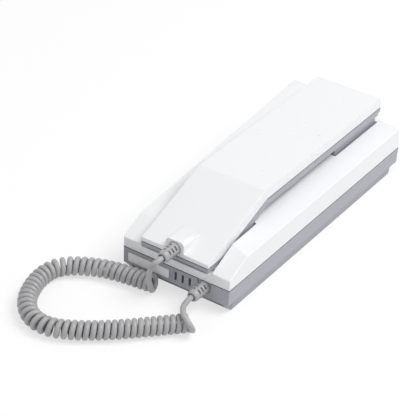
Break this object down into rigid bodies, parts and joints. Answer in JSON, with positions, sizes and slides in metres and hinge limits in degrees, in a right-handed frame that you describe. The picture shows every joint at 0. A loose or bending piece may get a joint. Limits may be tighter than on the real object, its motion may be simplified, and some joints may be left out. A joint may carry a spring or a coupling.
{
  "type": "intercom handset station",
  "caption": "Wall intercom station lying on its back, with a lift-off handset in a railed cradle, a curly cord on slotted strain reliefs, a sprung hook and a door release button.",
  "frame": {"origin": "middle of the base's back face, which meets the wall or the table", "axes": "+X to the right across the base, +Y along its length from the cord to the earpiece, +Z out from the wall"},
  "size_m": [0.1159, 0.3026, 0.0542],
  "materials": {
    "white_plastic": "satin moulded",
    "grey_plastic": "fine moulded texture",
    "dark_grey_plastic": "fine moulded texture",
    "grey_rubber": "satin",
    "label_film": "plain film, no print",
    "steel": "zinc plated",
    "board_laminate": "solder mask",
    "green_plastic": "moulded",
    "black_plastic": "moulded",
    "red_plastic": "moulded",
    "black_rubber": "matt",
    "capsule_metal": "drawn can"
  },
  "bodies": {
    "base": {"rear_case": "grey_plastic", "front_cover": "white_plastic", "case_screws": "steel", "rating_label": "label_film", "circuit_board": "board_laminate", "board_screws": "steel", "terminal_block": "green_plastic", "terminal_screws": "steel", "call_buzzer": "black_plastic", "hook_pin": "steel", "hook_spring": "steel", "hook_switch": "black_plastic", "door_switch": "black_plastic", "volume_switch": "black_plastic", "base_relief": "grey_rubber", "curly_cord": "grey_rubber"},
    "handset": {"handset_outer_shell": "white_plastic", "handset_inner_shell": "dark_grey_plastic", "handset_screws": "steel", "receiver_capsule": "black_plastic", "receiver_gasket": "black_rubber", "microphone": "capsule_metal", "microphone_boot": "black_rubber", "handset_ballast": "steel", "handset_relief": "grey_rubber"},
    "hook_lever": {"hook_lever": "white_plastic"},
    "hook_plunger": {"hook_plunger": "red_plastic"},
    "door_button": {"door_button": "dark_grey_plastic"},
    "volume_knob": {"volume_knob": "dark_grey_plastic"}
  },
  "joints": [
    {"name": "handset_lift", "type": "slide", "parent": "base", "child": "handset", "axis": [0, 0, 1], "range_m": [0, 0.08]},
    {"name": "hook_lever_pivot", "type": "hinge", "parent": "base", "child": "hook_lever", "pos_m": [0.012, 0.0331, 0.017], "axis": [1, 0, 0], "range_deg": [0, 8.5], "deforming": ["hook_spring"]},
    {"name": "hook_plunger_travel", "type": "slide", "parent": "base", "child": "hook_plunger", "axis": [0, 0, 1], "range_m": [0, 0.0012]},
    {"name": "door_button_press", "type": "slide", "parent": "base", "child": "door_button", "axis": [0, 0, -1], "range_m": [0, 0.0012], "stiffness_N_per_m": 300},
    {"name": "volume_slide", "type": "slide", "parent": "base", "child": "volume_knob", "axis": [0, 1, 0], "range_m": [-0.003, 0.003]}
  ],
  "couplings": [
    {"joint": "hook_lever_pivot", "follows": "handset_lift", "rad_per_m": 1.745},
    {"joint": "hook_plunger_travel", "follows": "handset_lift", "ratio": 0.0125}
  ]
}
